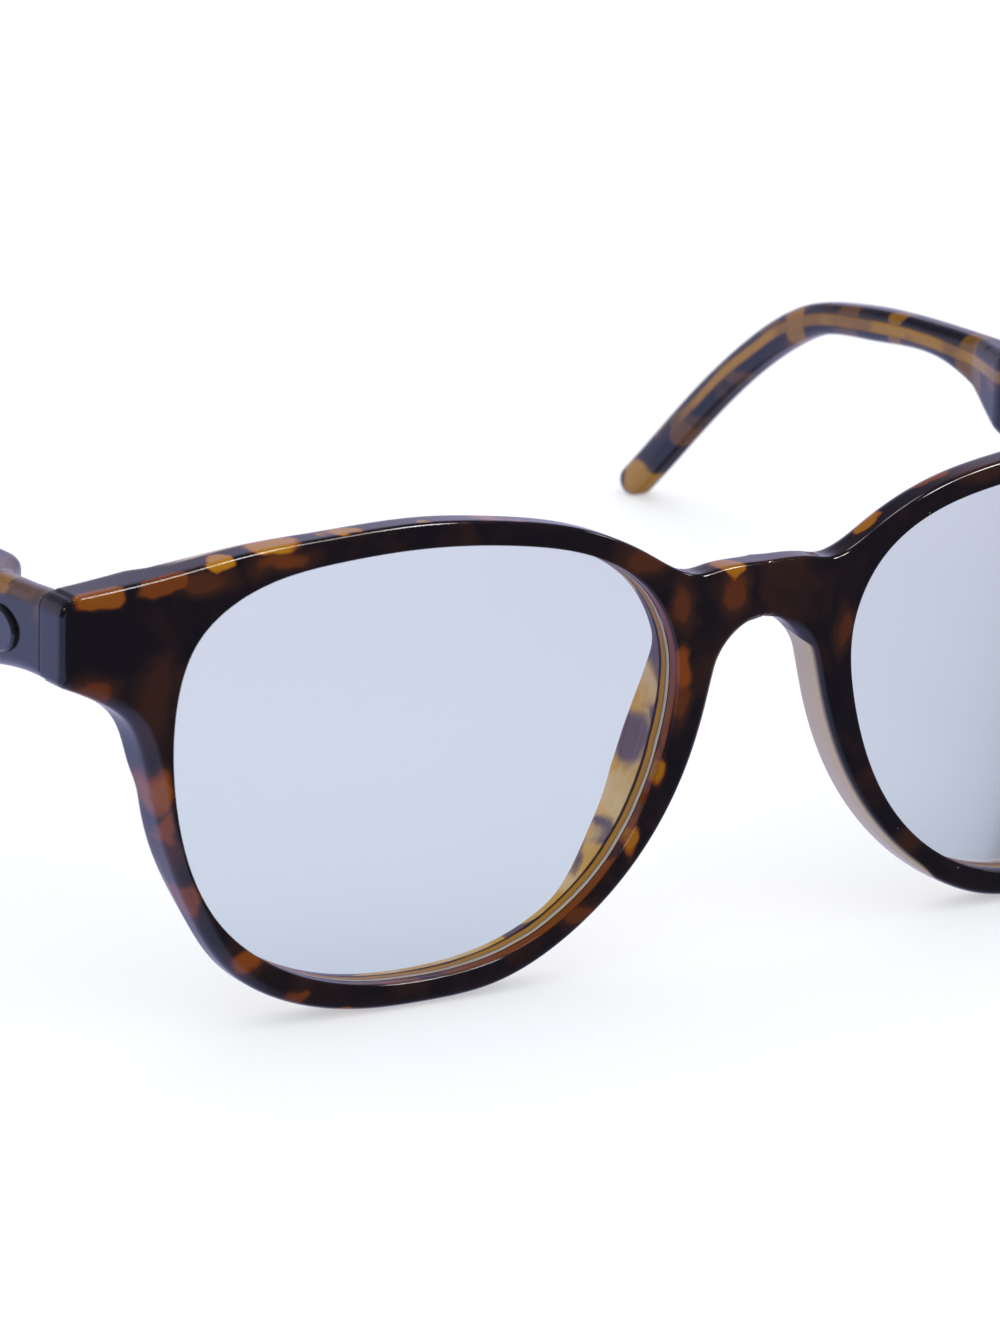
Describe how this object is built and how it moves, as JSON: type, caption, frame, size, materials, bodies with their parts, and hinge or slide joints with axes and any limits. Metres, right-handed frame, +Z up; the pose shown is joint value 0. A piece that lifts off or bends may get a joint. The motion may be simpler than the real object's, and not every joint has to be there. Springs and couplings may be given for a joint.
{
  "type": "smart glasses",
  "caption": "Audio smart glasses with a bowed tortoiseshell front, clear lenses and folding arms that house a battery, board, speaker and microphone.",
  "frame": {"origin": "middle of the nose gap at the height of the lens centres, level with the front face of the bridge", "axes": "+X towards the wearer's left, +Y back towards the ears, +Z up along the front; the arms are open and run back along +Y"},
  "size_m": [0.1432, 0.1244, 0.0443],
  "materials": {
    "tortoise": "polished, mottled brown and amber",
    "cover_plastic": "polished",
    "lens_glass": "clear, polished",
    "hinge_steel": "satin",
    "screw_steel": "satin",
    "gasket_rubber": "matt",
    "core_metal": "satin",
    "plaque_black": "polished",
    "battery_wrap": "foil wrap",
    "board_green": "solder mask",
    "speaker_black": "matt",
    "mesh_steel": "fine mesh",
    "lead_amber": "polyimide film",
    "microphone_can": "satin",
    "button_plastic": "polished",
    "switch_black": "matt",
    "contact_gold": "polished, gold plated",
    "magnet_nickel": "nickel plated",
    "light_diffuser": "frosted"
  },
  "bodies": {
    "front": {"front_frame": "tortoise", "lens_left": "lens_glass", "lens_right": "lens_glass", "hinge_front_leaf_left": "hinge_steel", "hinge_front_leaf_right": "hinge_steel", "hinge_screw_left": "screw_steel", "hinge_screw_right": "screw_steel"},
    "arm_left": {"hinge_arm_leaf_left": "hinge_steel", "arm_housing_left": "tortoise", "arm_cover_left": "cover_plastic", "cover_gasket_left": "gasket_rubber", "cover_screws_left": "screw_steel", "core_wire_left": "core_metal", "plaque_left": "plaque_black", "battery_left": "battery_wrap", "circuit_board_left": "board_green", "speaker_left": "speaker_black", "speaker_mesh_left": "mesh_steel", "speaker_lead_left": "lead_amber", "microphone_left": "microphone_can", "rocker_switches": "switch_black"},
    "arm_right": {"hinge_arm_leaf_right": "hinge_steel", "arm_housing_right": "tortoise", "arm_cover_right": "cover_plastic", "cover_gasket_right": "gasket_rubber", "cover_screws_right": "screw_steel", "core_wire_right": "core_metal", "plaque_right": "plaque_black", "battery_right": "battery_wrap", "circuit_board_right": "board_green", "speaker_right": "speaker_black", "speaker_mesh_right": "mesh_steel", "speaker_lead_right": "lead_amber", "microphone_right": "microphone_can", "action_switch": "switch_black", "charging_contacts": "contact_gold", "charging_magnet": "magnet_nickel", "status_light": "light_diffuser"},
    "volume_rocker": {"volume_rocker": "button_plastic"},
    "action_button": {"action_button": "button_plastic"}
  },
  "joints": [
    {"name": "left_arm_fold", "type": "hinge", "parent": "front", "child": "arm_left", "pos_m": [0.0669, 0.0091, 0.0136], "axis": [0, 0, 1], "range_deg": [0, 91.5]},
    {"name": "right_arm_fold", "type": "hinge", "parent": "front", "child": "arm_right", "pos_m": [-0.0669, 0.0091, 0.0136], "axis": [0, 0, -1], "range_deg": [0, 81]},
    {"name": "volume_rock", "type": "hinge", "parent": "arm_left", "child": "volume_rocker", "pos_m": [0.0684, 0.02995, 0.0162], "axis": [1, 0, 0], "range_deg": [-3, 3]},
    {"name": "action_press", "type": "slide", "parent": "arm_right", "child": "action_button", "axis": [0, 0, -1], "range_m": [0, 0.00035]}
  ]
}
